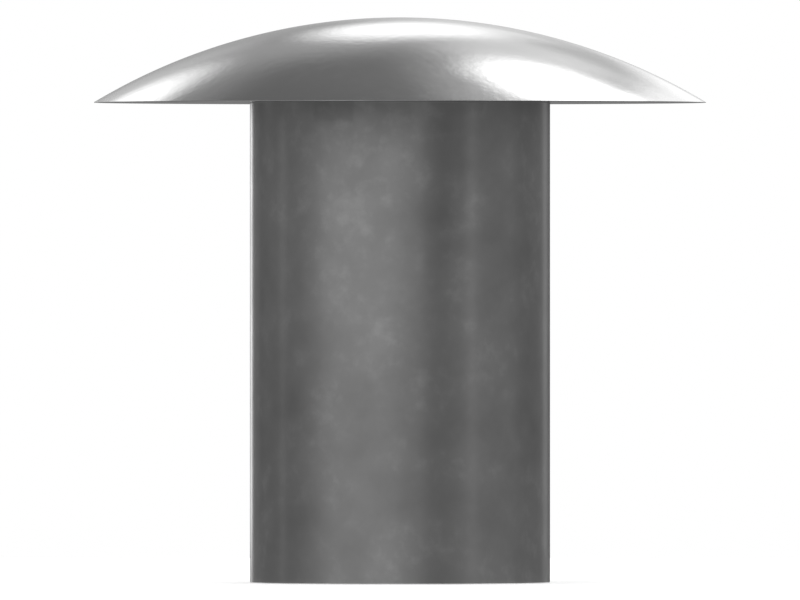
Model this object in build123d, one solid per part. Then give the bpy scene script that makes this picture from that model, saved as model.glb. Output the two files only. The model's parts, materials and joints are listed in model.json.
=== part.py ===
from build123d import *
import math
import os

# Cold-headed hollow rivet, made in one piece from soft steel wire: a domed mushroom
# head on a straight shank, with a blind axial hole punched up from the tail so that
# the tube wall can be rolled over against the work.
# Millimetres. +Z runs along the axis towards the dome. The origin is on the axis in
# the plane of the head's seating face, so the shank hangs below Z = 0.

# shank
shank_diameter = 5.0
shank_length = 8.0         # from the seating face to the tail
tail_edge_break = 0.02     # what the cut-off tool leaves on the tail's outer corner

# head
head_diameter = 10.2
head_height = 1.42         # from the seating face to the crown
rim_land = 0.02            # the upright edge that the heading die leaves around the rim

# hole
wall_thickness = 0.75      # tube wall between hole and shank
hole_depth = 6.5           # full-diameter depth, from the tail
point_angle = 118.0        # cone that the punch leaves at the blind end
mouth_chamfer = 0.10       # lead-in at the tail, measured along the axis and across it

# worked out from the sizes above
shank_radius = shank_diameter / 2
head_radius = head_diameter / 2
hole_radius = shank_radius - wall_thickness
tail_z = -shank_length
hole_end_z = tail_z + hole_depth
point_length = hole_radius / math.tan(math.radians(point_angle / 2))


def head_outline():
    """Half section of the head: flat seating face, rim land, then the dome's arc up to the axis."""
    dome_rise = head_height - rim_land
    dome_radius = (head_radius**2 + dome_rise**2) / (2 * dome_rise)
    crown = (0, head_height)
    rim_top = (head_radius, rim_land)
    seat = Line((0, 0), (head_radius, 0))
    land = Line((head_radius, 0), rim_top)
    dome = RadiusArc(rim_top, crown, -dome_radius)
    axis = Line(crown, (0, 0))
    return [seat, land, dome, axis]


def shank_outline():
    """Half section of the shank as solid wire, with the small break on its tail corner."""
    return Polyline(
        (0, 0),
        (shank_radius, 0),
        (shank_radius, tail_z + tail_edge_break),
        (shank_radius - tail_edge_break, tail_z),
        (0, tail_z),
        close=True,
    )


def hole_outline():
    """Half section of the blind hole: lead-in at the tail, straight wall, punch point."""
    return Polyline(
        (0, tail_z),
        (hole_radius + mouth_chamfer, tail_z),
        (hole_radius, tail_z + mouth_chamfer),
        (hole_radius, hole_end_z),
        (0, hole_end_z + point_length),
        close=True,
    )


def turned(outline):
    """Solid of revolution of a half section that is drawn in the XZ plane."""
    with BuildPart() as body:
        with BuildSketch(Plane.XZ):
            with BuildLine():
                add(outline)
            make_face()
        revolve(axis=Axis.Z)
    return body.part


def rivet():
    """The whole rivet: head and shank are one piece of metal, and the hole is punched in it."""
    blank = turned(head_outline()) + turned(shank_outline())
    return blank - turned(hole_outline())


os.makedirs("parts", exist_ok=True)
export_step(rivet(), "parts/rivet_body.step")
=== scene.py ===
import json
import math

import bpy
import numpy as np
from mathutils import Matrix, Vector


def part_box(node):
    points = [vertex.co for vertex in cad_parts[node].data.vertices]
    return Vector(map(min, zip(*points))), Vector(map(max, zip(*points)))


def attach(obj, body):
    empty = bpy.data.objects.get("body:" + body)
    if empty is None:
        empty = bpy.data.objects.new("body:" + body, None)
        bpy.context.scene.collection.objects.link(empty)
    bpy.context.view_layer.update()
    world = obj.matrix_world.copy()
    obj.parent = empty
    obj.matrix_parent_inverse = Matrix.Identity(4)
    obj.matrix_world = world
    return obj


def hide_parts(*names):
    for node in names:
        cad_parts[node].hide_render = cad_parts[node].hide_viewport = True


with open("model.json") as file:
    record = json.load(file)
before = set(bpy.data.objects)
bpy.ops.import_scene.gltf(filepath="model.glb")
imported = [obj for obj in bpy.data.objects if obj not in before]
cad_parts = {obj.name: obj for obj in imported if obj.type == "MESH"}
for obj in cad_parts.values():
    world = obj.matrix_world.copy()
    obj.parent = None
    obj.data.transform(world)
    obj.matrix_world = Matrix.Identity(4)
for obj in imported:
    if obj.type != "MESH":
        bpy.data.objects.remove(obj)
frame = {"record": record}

scene = bpy.context.scene
scene.view_settings.view_transform = "Standard"
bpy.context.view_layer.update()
mm = 0.001


# The camera stands level with the upper shank, far off behind a long lens, so that the
# shank's sides stay upright and the head's underside shows as a hair line.
camera_distance = 462.8 * mm
camera_height = -2.85 * mm
aim_height = -3.288 * mm

camera = bpy.data.objects.new("camera", bpy.data.cameras.new("camera"))
scene.collection.objects.link(camera)
camera.data.lens = 1250.0
camera.data.sensor_width = 36.0
camera.location = (0, -camera_distance, camera_height)
dip = math.atan2(camera_height - aim_height, camera_distance)
camera.rotation_euler = (math.radians(90) - dip, 0, 0)
scene.camera = camera


# The rivet is one piece of soft steel wire. A die upsets one end into a domed head, and a
# punch drives the hole up from the tail. Its edges are as sharp as the dies leave them.
mounts = {mount["name"]: mount["dims"] for mount in frame["record"]["mounts"]}
rivet_low, rivet_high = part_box("rivet_body")
crown_z = rivet_high.z
tail_z = rivet_low.z
head_radius = rivet_high.x
shank_radius = mounts["shank"]["r_mm"] * mm
hole_radius = mounts["tail_hole"]["r_mm"] * mm
hole_length = mounts["tail_hole"]["length_mm"] * mm
mouth_chamfer = 0.10 * mm
punch_half_angle = math.radians(59)
rim_nose = 0.004 * mm        # radius of the head's edge
neck_fillet = 0.015 * mm     # where the shank meets the head
tail_corner = 0.015 * mm
mouth_corner = 0.03 * mm     # both sides of the hole's lead-in
hole_corner = 0.12 * mm      # where the hole's wall runs into the punch point
punch_nose = 0.2 * mm
nose_rows = 7                # from the side of the punch's nose to the axis
segments = 360               # round the rivet


def straight(start, end, rows):
    """Evenly spaced points from start to end, as (radius, height). Each normal points to their left."""
    start, end = np.array(start), np.array(end)
    points = start + np.linspace(0, 1, rows)[:, None] * (end - start)
    along = (end - start) / np.linalg.norm(end - start)
    return points, np.tile([-along[1], along[0]], (rows, 1))


def arc(centre, radius, start_angle, end_angle, rows):
    """Points centre + radius (cos a, sin a). Each normal points to the left of the way they run."""
    angle = np.linspace(start_angle, end_angle, rows)
    spoke = np.column_stack([np.cos(angle), np.sin(angle)])
    return np.array(centre) + radius * spoke, spoke * np.sign(start_angle - end_angle)


def corner(before, at, after, radius, rows):
    """The arc of that radius that touches both of the straight runs that meet at a point. Its
    centre is on their bisector, radius / sin(half their angle) away from the point."""
    before, at, after = np.array(before), np.array(at), np.array(after)
    back = (before - at) / np.linalg.norm(before - at)
    ahead = (after - at) / np.linalg.norm(after - at)
    half = math.acos(back @ ahead) / 2
    centre = at + (back + ahead) / np.linalg.norm(back + ahead) * radius / math.sin(half)
    first = at + back * radius / math.tan(half) - centre
    last = at + ahead * radius / math.tan(half) - centre
    start_angle = math.atan2(first[1], first[0])
    turn = math.atan2(last[1], last[0]) - start_angle
    turn = (turn + math.pi) % (2 * math.pi) - math.pi
    return arc(centre, radius, start_angle, start_angle + turn, rows)


def head_outline():
    """The dome's arc from the crown to the rim, and the rim's small arc from there to the seat.
    The small arc's centre lies inside the dome's circle, so that the two circles touch."""
    reach = head_radius - rim_nose
    rise = crown_z - rim_nose
    dome_radius = (reach**2 + rise**2 - rim_nose**2) / (2 * (rise - rim_nose))
    dome_centre = (0, crown_z - dome_radius)
    meet = math.atan2(rim_nose - dome_centre[1], reach)
    dome = arc(dome_centre, dome_radius, math.pi / 2, meet, rows=65)
    rim = arc((reach, rim_nose), rim_nose, meet, -math.pi / 2, rows=7)
    return [dome, rim]


def shank_and_hole_outline():
    """Straight runs joined by corner arcs: the seat, the shank, the tail face, the lead-in, the
    hole's wall and the punch point, up to the axis."""
    hole_end = tail_z + mouth_chamfer + hole_length
    tip = (0, hole_end + hole_radius / math.tan(punch_half_angle))
    # the point where two runs meet, its corner's radius, the rows of the run to it, the arc's rows
    stations = [
        ((head_radius - rim_nose, 0), 0, 0, 0),
        ((shank_radius, 0), neck_fillet, 14, 7),
        ((shank_radius, tail_z), tail_corner, 41, 7),
        ((hole_radius + mouth_chamfer, tail_z), mouth_corner, 5, 5),
        ((hole_radius, tail_z + mouth_chamfer), mouth_corner, 4, 5),
        ((hole_radius, hole_end), hole_corner, 33, 7),
        (tip, punch_nose, 10, 2 * nose_rows - 1),
        ((-hole_radius, hole_end), 0, 0, 0),
    ]
    runs = []
    reached = stations[0][0]
    for (before, *_), (at, radius, run_rows, arc_rows), (after, *_) in zip(
        stations, stations[1:], stations[2:]
    ):
        bend = corner(before, at, after, radius, arc_rows)
        runs += [straight(reached, bend[0][0], run_rows), bend]
        reached = bend[0][-1]
    nose_points, nose_normals = runs[-1]
    runs[-1] = (nose_points[:nose_rows], nose_normals[:nose_rows])
    return runs


def turned_mesh(name, runs, slots):
    """Each outline point (r, z) becomes a ring (r cos t, r sin t, z), and the two ends on the
    axis become poles. The outline's own normals are turned with it, so that flats stay flat up
    to the edge of a corner arc."""
    points_of_run = [points[1:] if n else points for n, (points, _) in enumerate(runs)]
    normals_of_run = [normals[1:] if n else normals for n, (_, normals) in enumerate(runs)]
    slot_of_row = np.concatenate([np.full(len(p), s) for p, s in zip(points_of_run, slots)])
    radius, height = np.concatenate(points_of_run).T
    lean, rise = np.concatenate(normals_of_run).T
    angle = np.arange(segments) * 2 * math.pi / segments
    rings = slice(1, len(radius) - 1)
    around = np.cos(angle), np.sin(angle)

    def swept(out, up):
        """The rings of one outline quantity, with a single entry for each pole."""
        sides = [np.outer(out[rings], way) for way in around]
        body = np.stack([*sides, np.tile(up[rings, None], segments)], axis=-1)
        return np.vstack([[0, 0, up[0]], body.reshape(-1, 3), [0, 0, up[-1]]])

    vertices = swept(radius, height)
    normals = swept(lean, rise)
    ring_count = len(radius) - 2
    grid = 1 + np.arange(ring_count * segments).reshape(ring_count, segments)
    after = np.roll(grid, -1, axis=1)
    quads = np.stack([grid[:-1], grid[1:], after[1:], after[:-1]], axis=-1).reshape(-1, 4)
    top = np.column_stack([np.zeros(segments, int), grid[0], after[0]])
    bottom = np.column_stack([grid[-1], np.full(segments, len(vertices) - 1), after[-1]])
    mesh = bpy.data.meshes.new(name)
    mesh.from_pydata(vertices, [], [*top.tolist(), *quads.tolist(), *bottom.tolist()])
    face_slots = np.concatenate([
        np.full(segments, slot_of_row[0]),
        np.repeat(slot_of_row[2:-1], segments),
        np.full(segments, slot_of_row[-1]),
    ])
    mesh.polygons.foreach_set("material_index", face_slots)
    mesh.polygons.foreach_set("use_smooth", np.ones(len(mesh.polygons), bool))
    mesh.normals_split_custom_set_from_vertices(normals)
    return mesh


# The dome, the rim and the seat have the die's finish, the neck, the shank, its corner and the
# tail face have the drawn wire's, and the rest is the punched hole.
HEADED, DRAWN, PUNCHED = 0, 1, 2
outline = head_outline() + shank_and_hole_outline()
finish_of_run = [HEADED] * 3 + [DRAWN] * 4 + [PUNCHED] * (len(outline) - 7)
rivet_mesh = turned_mesh("rivet", outline, finish_of_run)
rivet = bpy.data.objects.new("rivet", rivet_mesh)
scene.collection.objects.link(rivet)
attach(rivet, "root")
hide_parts("rivet_body")


# The steel is bare and bright. Handling, phosphate and the last of the drawing soap leave soft
# clouds on it, from a tenth of a millimetre to a few across, with small flecks where the skin
# is rubbed through.
NUMBER, VECTOR = "NodeSocketFloat", "NodeSocketVector"
cloud_origin = (8.0, 0.0, 55.0)    # where in the noise the rivet sits, in millimetres
broad_clouds_per_mm = 0.5
broad_share = 0.8
flecks_per_mm = 4.0
fleck_pit = 0.02
cloud_polish = 0.04                # how much smoother a bright cloud is


def add(tree, kind, settings=None, **sockets):
    """Adds a node. A socket's name has _ for each space, or is i and its number where names
    repeat. Its value is a number, a colour or another node's output."""
    node = tree.nodes.new(kind)
    for name, value in (settings or {}).items():
        setattr(node, name, value)
    for name, value in sockets.items():
        key = int(name[1:]) if name[0] == "i" and name[1:].isdigit() else name.replace("_", " ")
        if isinstance(value, bpy.types.NodeSocket):
            tree.links.new(value, node.inputs[key])
        else:
            node.inputs[key].default_value = value
    return node


def math_node(tree, operation, *values):
    """One Math node's output, with its inputs in order."""
    sockets = {f"i{n}": value for n, value in enumerate(values)}
    return add(tree, "ShaderNodeMath", {"operation": operation}, **sockets).outputs[0]


def smooth_range(tree, value, start, end, at_start, at_end):
    """A value that goes smoothly from at_start to at_end as the given one goes from start to end."""
    return add(
        tree, "ShaderNodeMapRange", {"interpolation_type": "SMOOTHSTEP"},
        Value=value, From_Min=start, From_Max=end, To_Min=at_start, To_Max=at_end,
    ).outputs[0]


def new_group(name, inputs, outputs):
    """An empty node group with named sockets: inputs is {name: (kind, default)}, outputs is {name: kind}."""
    group = bpy.data.node_groups.new(name, "ShaderNodeTree")
    for label, (kind, default) in inputs.items():
        socket = group.interface.new_socket(label, in_out="INPUT", socket_type=kind)
        if default is not None:
            socket.default_value = default
    for label, kind in outputs.items():
        group.interface.new_socket(label, in_out="OUTPUT", socket_type=kind)
    return group, group.nodes.new("NodeGroupInput").outputs, group.nodes.new("NodeGroupOutput").inputs


clouded_skin, given, result = new_group(
    "clouded_skin",
    {
        "Position": (VECTOR, None),
        "Clouds per mm": (NUMBER, 1.3),
        "Cloud depth": (NUMBER, 1.0),
        "Fleck depth": (NUMBER, 0.2),
    },
    {"Tone": NUMBER, "Cloud": NUMBER},
)
position = add(
    clouded_skin, "ShaderNodeVectorMath", {"operation": "MULTIPLY_ADD"},
    i0=given["Position"], i1=(1 / mm, 1 / mm, 1 / mm), i2=cloud_origin,
).outputs[0]


def skin_noise(scale, detail, roughness):
    """Cloud noise around 0 on the metal, with that many swings per millimetre."""
    noise = add(
        clouded_skin, "ShaderNodeTexNoise", Vector=position, Scale=scale, Detail=detail, Roughness=roughness,
    ).outputs["Fac"]
    return math_node(clouded_skin, "SUBTRACT", noise, 0.5)


# Broad clouds carry the finer ones. Flecks are bright spots with hardly any dark between them,
# and few of them show where a cloud is dark.
broad = skin_noise(broad_clouds_per_mm, detail=2.0, roughness=0.5)
cloud = skin_noise(given["Clouds per mm"], detail=6.0, roughness=0.52)
swing = math_node(clouded_skin, "MULTIPLY_ADD", broad, broad_share, cloud)
fleck = skin_noise(flecks_per_mm, detail=4.0, roughness=0.55)
fleck = math_node(clouded_skin, "MAXIMUM", fleck, -fleck_pit)
fleck_room = smooth_range(clouded_skin, swing, -0.05, 0.15, 0.1, 1.0)
fleck = math_node(clouded_skin, "MULTIPLY", fleck, fleck_room)
tone = math_node(clouded_skin, "MULTIPLY_ADD", swing, given["Cloud depth"], 1.0)
tone = math_node(clouded_skin, "MULTIPLY_ADD", fleck, given["Fleck depth"], tone)
clouded_skin.links.new(tone, result["Tone"])
clouded_skin.links.new(swing, result["Cloud"])

# Under the head the shank is painted darker, a painted shade where the head's underside hides the light from
# it.
# Its lower half is a little darker than the upper one, but not down its right side.
# Painted shade under the head: the grey is multiplied down by these depths within these reaches of the seat.
neck_reach, seat_shade_depth = 0.3 * mm, 0.08
collar_reach, collar_shade_depth = 1.2 * mm, 0.10
# The lower half is darkened by up to this share towards the bottom, and the right side is left a touch
# brighter.
lower_darkening_depth = 0.115
lower_darkening_start, lower_darkening_full = -3.0 * mm, -4.9 * mm
right_side_start, right_side_full = 0.7 * mm, 1.4 * mm
right_side_shine = 0.01

painted_neck_shade_and_smear, given, result = new_group("painted_neck_shade_and_smear", {"Position": (VECTOR, None)}, {"Tone": NUMBER})
axes = add(painted_neck_shade_and_smear, "ShaderNodeSeparateXYZ", Vector=given["Position"]).outputs
seat_painted_shade = smooth_range(painted_neck_shade_and_smear, axes["Z"], -neck_reach, 0.0, 1.0, 1.0 - seat_shade_depth)
collar_painted_shade = smooth_range(painted_neck_shade_and_smear, axes["Z"], -collar_reach, 0.0, 1.0, 1.0 - collar_shade_depth)
lower_darkening_here = smooth_range(
    painted_neck_shade_and_smear, axes["X"], right_side_start, right_side_full, lower_darkening_depth, -right_side_shine,
)
dull = smooth_range(painted_neck_shade_and_smear, axes["Z"], lower_darkening_full, lower_darkening_start, lower_darkening_here, 0.0)

# One smear of soap, with a ragged lower edge, is left at the seat.
smear_x = -1.1 * mm
smear_half_width = 0.32 * mm
smear_reach = 0.32 * mm
smear_depth = 0.12
ragged_per_mm = 6

ragged = add(
    painted_neck_shade_and_smear, "ShaderNodeTexNoise", Vector=given["Position"], Scale=ragged_per_mm / mm, Detail=4.0,
).outputs["Fac"]
ragged = math_node(painted_neck_shade_and_smear, "SUBTRACT", ragged, 0.5)
smear_aside = math_node(painted_neck_shade_and_smear, "ABSOLUTE", math_node(painted_neck_shade_and_smear, "SUBTRACT", axes["X"], smear_x))
smear_aside = math_node(painted_neck_shade_and_smear, "DIVIDE", smear_aside, smear_half_width)
smear_down = math_node(painted_neck_shade_and_smear, "DIVIDE", math_node(painted_neck_shade_and_smear, "ABSOLUTE", axes["Z"]), smear_reach)
from_smear = math_node(painted_neck_shade_and_smear, "MAXIMUM", smear_aside, smear_down)
from_smear = math_node(painted_neck_shade_and_smear, "MULTIPLY_ADD", ragged, 0.5, from_smear)
smear = smooth_range(painted_neck_shade_and_smear, from_smear, 0.85, 1.15, 1.0 - smear_depth, 1.0)

# The painted shade under the head, the smear and the darker lower half multiply together.
tone = math_node(painted_neck_shade_and_smear, "MULTIPLY", seat_painted_shade, collar_painted_shade)
tone = math_node(painted_neck_shade_and_smear, "MULTIPLY", tone, smear)
tone = math_node(painted_neck_shade_and_smear, "MULTIPLY", tone, math_node(painted_neck_shade_and_smear, "SUBTRACT", 1.0, dull))
painted_neck_shade_and_smear.links.new(tone, result["Tone"])


def steel_finish(
    name, grey, roughness, spread, clouds_per_mm, cloud_depth, fleck_depth, grain, grain_depth, neck=False,
):
    """Bright steel. Its grey is multiplied by the skin's tone, its gloss follows the clouds, fine
    grain bumps it, and the spread draws its reflections out along the rivet."""
    material = bpy.data.materials.new(name)
    material.use_nodes = True
    tree = material.node_tree
    shader = tree.nodes["Principled BSDF"]
    place = add(tree, "ShaderNodeTexCoord").outputs["Object"]
    skin = add(
        tree, "ShaderNodeGroup", {"node_tree": clouded_skin}, Position=place,
        Clouds_per_mm=clouds_per_mm, Cloud_depth=cloud_depth, Fleck_depth=fleck_depth,
    ).outputs
    tone = skin["Tone"]
    # On the shank the grey also takes the painted shade under the head, the smear and the darker lower half.
    if neck:
        shade = add(tree, "ShaderNodeGroup", {"node_tree": painted_neck_shade_and_smear}, Position=place).outputs["Tone"]
        tone = math_node(tree, "MULTIPLY", tone, shade)
    colour = add(
        tree, "ShaderNodeVectorMath", {"operation": "SCALE"}, i0=(grey, grey, grey), Scale=tone,
    ).outputs[0]
    gloss = math_node(tree, "MULTIPLY_ADD", skin["Cloud"], -cloud_polish, roughness)
    stretched = add(tree, "ShaderNodeMapping", Vector=place, Scale=grain).outputs[0]
    lines = add(tree, "ShaderNodeTexNoise", Vector=stretched, Scale=1 / mm, Detail=3.0).outputs["Fac"]
    bump = add(tree, "ShaderNodeBump", Height=lines, Strength=1.0, Distance=grain_depth).outputs[0]
    tree.links.new(colour, shader.inputs["Base Color"])
    tree.links.new(gloss, shader.inputs["Roughness"])
    tree.links.new(bump, shader.inputs["Normal"])
    round_axis = add(tree, "ShaderNodeTangent", {"direction_type": "RADIAL", "axis": "Z"}).outputs[0]
    tree.links.new(round_axis, shader.inputs["Tangent"])
    shader.inputs["Anisotropic"].default_value = spread
    shader.inputs["Anisotropic Rotation"].default_value = 0.25
    shader.inputs["Metallic"].default_value = 1.0
    return material


# The die leaves the head smooth. The shank and the hole slid past their tools, whose faint
# chatter runs round them and draws out what they reflect lengthwise. The hole is the roughest.
headed_steel = steel_finish(
    "headed_steel", grey=0.56, roughness=0.13, spread=0.0, clouds_per_mm=0.8,
    cloud_depth=0.12, fleck_depth=0.25, grain=(6, 6, 6), grain_depth=0.0016 * mm,
)
drawn_steel = steel_finish(
    "drawn_steel", grey=0.59, roughness=0.29, spread=0.77, clouds_per_mm=1.4,
    cloud_depth=0.5, fleck_depth=0.7, grain=(14, 14, 0.5), grain_depth=0.00001 * mm, neck=True,
)
punched_steel = steel_finish(
    "punched_steel", grey=0.42, roughness=0.32, spread=0.5, clouds_per_mm=1.6,
    cloud_depth=0.5, fleck_depth=0.5, grain=(10, 10, 0.4), grain_depth=0.0006 * mm,
)
for finish in (headed_steel, drawn_steel, punched_steel):
    rivet_mesh.materials.append(finish)


# A small round white table carries the rivet. Its own glow is only what the eye and polished
# metal see of it, and the lamp lights the rest of it, so that it keeps the rivet's shadow.
table_radius = 40 * mm
table_paint = (0.85, 0.85, 0.85, 1)
table_glow = 0.57
table_segments = 96
table_rings = np.linspace(0, table_radius, 24)[1:]
table_angle = np.arange(table_segments) * 2 * math.pi / table_segments


def ring_points(radii, height):
    """Rings of points (r cos t, r sin t, height), one ring for each radius."""
    x, y = (np.outer(radii, way).ravel() for way in (np.cos(table_angle), np.sin(table_angle)))
    return np.column_stack([x, y, np.full(x.size, height)])


def ring_quads(first, ring_count):
    """The quads between neighbouring rings, whose points are numbered from the given first one."""
    grid = first + np.arange(ring_count * table_segments).reshape(ring_count, table_segments)
    after = np.roll(grid, -1, axis=1)
    return np.stack([grid[:-1], grid[1:], after[1:], after[:-1]], axis=-1).reshape(-1, 4)


innermost = np.arange(1, 1 + table_segments)
fan = np.column_stack([np.zeros(table_segments, int), innermost, np.roll(innermost, -1)])
table_quads = ring_quads(1, len(table_rings))
table_vertices = np.vstack([[0, 0, tail_z], ring_points(table_rings, tail_z)])
table_mesh = bpy.data.meshes.new("table")
table_mesh.from_pydata(table_vertices, [], [*fan.tolist(), *table_quads.tolist()])
table = bpy.data.objects.new("table", table_mesh)
scene.collection.objects.link(table)


def seen_directly(tree):
    """1 on camera, glossy and transmission rays, 0 on the rays that carry light between dull surfaces."""
    path = add(tree, "ShaderNodeLightPath").outputs
    metal = math_node(tree, "MAXIMUM", path["Is Glossy Ray"], path["Is Transmission Ray"])
    return math_node(tree, "MAXIMUM", path["Is Camera Ray"], metal)


white_paint = bpy.data.materials.new("white_table")
white_paint.use_nodes = True
tree = white_paint.node_tree
shader = tree.nodes["Principled BSDF"]
shader.inputs["Base Color"].default_value = table_paint
shader.inputs["Roughness"].default_value = 1.0
shader.inputs["Specular IOR Level"].default_value = 0.0
shader.inputs["Emission Color"].default_value = (1, 1, 1, 1)
glow = math_node(tree, "MULTIPLY", seen_directly(tree), table_glow)
tree.links.new(glow, shader.inputs["Emission Strength"])
table_mesh.materials.append(white_paint)


# The background is plain white, and the metal sees it too wherever the tent leaves it open.
# Dull surfaces get only half of its light.
dull_share = 0.5
world = bpy.data.worlds.new("white_background")
world.use_nodes = True
scene.world = world
tree = world.node_tree
background = tree.nodes["Background"]
background.inputs["Color"].default_value = (1, 1, 1, 1)
strength = math_node(tree, "MULTIPLY_ADD", seen_directly(tree), 1 - dull_share, dull_share)
tree.links.new(strength, background.inputs["Strength"])


# A light tent of thin grey cloth stands round the table, out of the camera's sight. Lamps
# behind it glow through as round lights and upright panels, and one slit lets in the white.
tent_radius = 2000 * mm
tent_rows = 48
tent_columns = 96
cloth_level = 0.165


def light_group(name, soft_edges):
    """A node group for one light on the tent. It starts with the direction's offset from the
    light's centre, turned back by the light's tilt. The group, its sockets and that offset
    across and up are handed back."""
    numbers = [
        "Azimuth", "Elevation", "Centre azimuth", "Centre elevation",
        "Half width", "Half height", "Tilt", *soft_edges,
    ]
    inputs = {label: (NUMBER, 1.0) for label in numbers}
    group, given, result = new_group(name, inputs, {"Mask": NUMBER})
    aside = math_node(group, "SUBTRACT", given["Azimuth"], given["Centre azimuth"])
    aside = math_node(group, "WRAP", aside, 180.0, -180.0)
    above = math_node(group, "SUBTRACT", given["Elevation"], given["Centre elevation"])
    offset = add(group, "ShaderNodeCombineXYZ", X=aside, Y=above).outputs[0]
    back_turn = math_node(group, "MULTIPLY", math_node(group, "RADIANS", given["Tilt"]), -1.0)
    turned = add(
        group, "ShaderNodeVectorRotate", {"rotation_type": "Z_AXIS"}, Vector=offset, Angle=back_turn,
    ).outputs[0]
    axes = add(group, "ShaderNodeSeparateXYZ", Vector=turned).outputs
    return group, given, result, axes["X"], axes["Y"]


def soft_step(tree, value):
    """0 below -0.5 and 1 above 0.5, with a smooth rise between."""
    return smooth_range(tree, value, -0.5, 0.5, 0.0, 1.0)


# A round light is an oval. Its mask falls as the distance from its centre, in units of its
# half sizes, passes 1.
round_light, given, result, across, up = light_group("round_light", ["Softness"])
squares = [
    math_node(round_light, "POWER", math_node(round_light, "DIVIDE", offset, given[half]), 2.0)
    for offset, half in ((across, "Half width"), (up, "Half height"))
]
distance = math_node(round_light, "SQRT", math_node(round_light, "ADD", *squares))
inside = math_node(round_light, "SUBTRACT", 1.0, distance)
inside = math_node(round_light, "DIVIDE", inside, given["Softness"])
round_light.links.new(soft_step(round_light, inside), result["Mask"])

# A panel is a rectangle. Its mask is the product of the two soft steps over its sides and over
# its ends.
panel, given, result, across, up = light_group("panel", ["Soft sides", "Soft ends"])
steps = []
for offset, half, soft in ((across, "Half width", "Soft sides"), (up, "Half height", "Soft ends")):
    depth_inside = math_node(panel, "SUBTRACT", given[half], math_node(panel, "ABSOLUTE", offset))
    steps.append(soft_step(panel, math_node(panel, "DIVIDE", depth_inside, given[soft])))
panel.links.new(math_node(panel, "MULTIPLY", *steps), result["Mask"])


def direction(tree, reach):
    """The azimuth from +Y towards +X and the elevation, in degrees, of a point at that distance
    from the origin."""
    place = add(tree, "ShaderNodeTexCoord").outputs["Object"]
    axes = add(tree, "ShaderNodeSeparateXYZ", Vector=place).outputs
    azimuth = math_node(tree, "DEGREES", math_node(tree, "ARCTAN2", axes["X"], axes["Y"]))
    rise = math_node(tree, "ARCSINE", math_node(tree, "DIVIDE", axes["Z"], reach))
    return azimuth, math_node(tree, "DEGREES", rise)


def light_mask(tree, towards, group, azimuth, elevation, half_width, half_height, tilt, *soft):
    """One light's mask, between 0 and 1, in one direction. Its softness is one number for a round
    light and two for a panel."""
    names = ["Softness"] if len(soft) == 1 else ["Soft_sides", "Soft_ends"]
    return add(
        tree, "ShaderNodeGroup", {"node_tree": group}, Azimuth=towards[0], Elevation=towards[1],
        Centre_azimuth=azimuth, Centre_elevation=elevation,
        Half_width=half_width, Half_height=half_height, Tilt=tilt, **dict(zip(names, soft)),
    ).outputs["Mask"]


def lit(tree, towards, group, lights, glow):
    """That glow plus the level of each light times its mask."""
    for *shape, level in lights.values():
        glow = math_node(tree, "MULTIPLY_ADD", light_mask(tree, towards, group, *shape), level, glow)
    return glow


# name: centre azimuth and elevation, half width and height and tilt in degrees, softness, level
# A crease is a fold in the cloth, darker than what is round it, so that its level is below 0.
round_lights = {
    "key": (20.3, 43, 11.9, 9.6, 0, 0.8, 2.2),
    "key_halo": (21, 45.5, 16.5, 19, 0, 0.94, 0.42),
    "key_haze": (12, 52, 22, 15, 0, 0.9, 0.04),
    "kicker": (-22.4, 22.8, 11.6, 11.4, 0, 0.6, 1.5),
    "kicker_halo": (-22, 33, 10, 11, 0, 0.9, 0.15),
    "back": (0, 23.6, 3.5, 7.4, 9, 1.3, 1.4),
    "back_edge": (4, 25, 2, 4, 0, 1.2, 0.12),
    "back_haze": (-4, 35, 4, 5, 0, 1.2, 0.05),
    "left_crease": (-4, 21, 1.5, 4, 10, 1.2, -0.1),
    "right_crease": (4, 11.5, 1.5, 3, -20, 1.2, -0.15),
    "key_crease": (11, 51, 3, 3, 0, 1.2, -0.15),
    "right_low_fill": (6.6, 18.5, 3.2, 9.5, -18, 1.4, 0.2),
    "back_glow": (-2, 15, 20, 23, 0, 0.8, 0.26),
    "side_key": (-95, 48, 14, 11, 0, 0.8, 0.95),
    "side_glow": (-95, 62, 36, 24, 0, 1.2, 0.38),
    "rear_key": (130, 48, 14, 11, 0, 0.5, 2.2),
    "rear_glow": (125, 62, 38, 24, 0, 1.2, 0.38),
    "front_key": (-150, 50, 14, 10, 0, 0.5, 1.8),
    "front_glow": (-165, 64, 36, 22, 0, 1.2, 0.3),
}
# name: centre azimuth and elevation, half width and height, tilt, soft sides and ends in degrees, level
panels = {
    "kicker_spill": (-9.5, 13.5, 4, 7, 0, 5, 8, 0.2),
    "right_fill": (8.2, 31.5, 5.5, 8, 0, 6, 8, 0.40),
    "right_low": (15.8, 19.7, 5, 16, -29, 3, 6, 0.9),
    "ceiling": (-5, 55, 40, 22, 0, 20, 16, 0.035),
    "zenith": (0, 88, 180, 18, 0, 10, 14, 0.35),
    "front_left": (-150, 25, 38, 25, 0, 38, 3, 0.355),
    "left_strip": (-77, 20, 3, 20, 0, 4, 3, 0.2),
    "right_wide": (103, 25, 24, 25, 0, 10, 3, 0.07),
}
# The cloth below the table's edge glows a little, more in front and less behind and on the right.
floor_panels = {
    "floor": (180, -47, 160, 45, 0, 20, 2, 0.015),
    "front_floor": (-160, -47, 42, 45, 0, 30, 2, 0.03),
    "right_floor": (62, -47, 14, 45, 0, 28, 2, -0.045),
    "back_floor": (14, -47, 14, 45, 0, 20, 2, -0.06),
}
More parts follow.
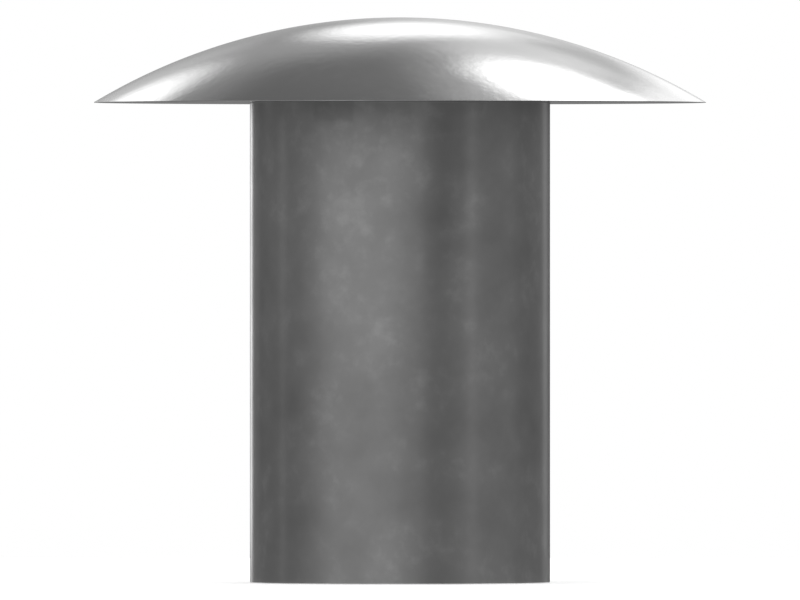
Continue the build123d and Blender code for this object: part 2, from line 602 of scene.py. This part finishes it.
# Low panels reach across the height of the table's edge. The gaps and the right line are
# darker than the cloth round them.
low_panels = {
    "right_horizon": (2.2, 8.8, 2.6, 7.5, 0, 3, 2.5, 0.28),
    "back_horizon": (-1, -5.5, 10, 5, 0, 8, 2, 0.09),
    "left_line": (-16.5, 1.6, 4, 3.6, 0, 3, 2.5, 0.66),
    "right_line": (13, 0, 4.5, 10, 0, 3, 4, -0.05),
    "right_strip": (123, 0, 4, 40, 0, 6, 20, 0.085),
    "right_gap": (146, 0, 7, 40, 0, 8, 20, -0.035),
    "front_edge": (166, 0, 4, 40, 0, 5, 20, 0.055),
    "left_gap": (-45, 0, 6, 40, 0, 10, 20, -0.03),
    "left_back": (-97, 0, 9, 40, 0, 10, 20, 0.02),
    "far_right_strip": (30, 0, 5.5, 40, 0, 5, 20, 0.14),
}
# One slit in the cloth lets in the white, and its lit hem is the left line.
slit_shape = (-16.5, 1.2, 4, 3.6, 0, 3, 2.5)
horizon_fade = 4.0    # degrees above the horizon at which the high lights are full

# The round lights and the panels shine above the table's edge only, the others anywhere.
tent_cloth = bpy.data.materials.new("tent_cloth")
tent_cloth.use_nodes = True
tree = tent_cloth.node_tree
tree.nodes.remove(tree.nodes["Principled BSDF"])
towards = direction(tree, tent_radius)
high_glow = lit(tree, towards, panel, panels, lit(tree, towards, round_light, round_lights, 0.0))
above_table = smooth_range(tree, towards[1], 0.0, horizon_fade, 0.0, 1.0)
glow = math_node(tree, "MULTIPLY_ADD", high_glow, above_table, cloth_level)
glow = lit(tree, towards, panel, {**floor_panels, **low_panels}, glow)
cloth = add(tree, "ShaderNodeEmission", Color=(1, 1, 1, 1), Strength=glow).outputs[0]
open_slit = light_mask(tree, towards, panel, *slit_shape)
clear = add(tree, "ShaderNodeBsdfTransparent", Color=open_slit).outputs[0]
tent_surface = add(tree, "ShaderNodeAddShader", i0=cloth, i1=clear).outputs[0]
tree.links.new(tent_surface, tree.nodes["Material Output"].inputs["Surface"])
tent_cloth.cycles.emission_sampling = "NONE"

# The tent is a sphere: (r sin p cos t, r sin p sin t, r cos p), with p from the zenith down.
polar = np.linspace(0, math.pi, tent_rows + 1)
turn = np.linspace(0, 2 * math.pi, tent_columns + 1)
radius_of = tent_radius * np.sin(polar)
height_of = tent_radius * np.cos(polar)
sides = [np.outer(radius_of, way) for way in (np.cos(turn), np.sin(turn))]
tent_vertices = np.stack([*sides, np.tile(height_of[:, None], len(turn))], axis=-1).reshape(-1, 3)
grid = np.arange(len(tent_vertices)).reshape(len(polar), len(turn))
quads = np.stack([grid[:-1, :-1], grid[:-1, 1:], grid[1:, 1:], grid[1:, :-1]], axis=-1).reshape(-1, 4)
tent_mesh = bpy.data.meshes.new("light_tent")
tent_mesh.from_pydata(tent_vertices, [], quads.tolist())
tent_mesh.materials.append(tent_cloth)
tent = bpy.data.objects.new("light_tent", tent_mesh)
scene.collection.objects.link(tent)
tent.visible_camera = False
tent.visible_shadow = False


# A ring of the same cloth lies on the table round the rivet, and only the metal sees it. It
# keeps the white table out of the shank and out of the head's underside.
skirt_gap = 0.02 * mm
skirt_overhang = 1 * mm
skirt_lift = 0.005 * mm
skirt_edges = np.array([shank_radius + skirt_gap, table_radius + skirt_overhang])
skirt_mesh = bpy.data.meshes.new("cloth_skirt")
skirt_mesh.from_pydata(ring_points(skirt_edges, tail_z + skirt_lift), [], ring_quads(0, 2).tolist())
skirt_cloth = bpy.data.materials.new("skirt_cloth")
skirt_cloth.use_nodes = True
tree = skirt_cloth.node_tree
tree.nodes.remove(tree.nodes["Principled BSDF"])
floor_glow = lit(tree, direction(tree, table_radius), panel, floor_panels, cloth_level)
cloth = add(tree, "ShaderNodeEmission", Color=(1, 1, 1, 1), Strength=floor_glow).outputs[0]
tree.links.new(cloth, tree.nodes["Material Output"].inputs["Surface"])
skirt_cloth.cycles.emission_sampling = "NONE"
skirt_mesh.materials.append(skirt_cloth)
skirt = bpy.data.objects.new("cloth_skirt", skirt_mesh)
scene.collection.objects.link(skirt)
skirt.visible_camera = False
skirt.visible_diffuse = False
skirt.visible_shadow = False


# One soft lamp hangs over the table, and gives the white and the shadow on it. Neither the
# camera nor the metal sees the lamp itself.
lamp_width = 160 * mm
lamp_height = 210 * mm
lamp_power = 0.22
overhead = bpy.data.objects.new("overhead_lamp", bpy.data.lights.new("overhead_lamp", "AREA"))
overhead.data.shape = "DISK"
overhead.data.size = lamp_width
overhead.data.energy = lamp_power
overhead.location = (0, 0, lamp_height)
overhead.visible_camera = False
overhead.visible_glossy = False
scene.collection.objects.link(overhead)
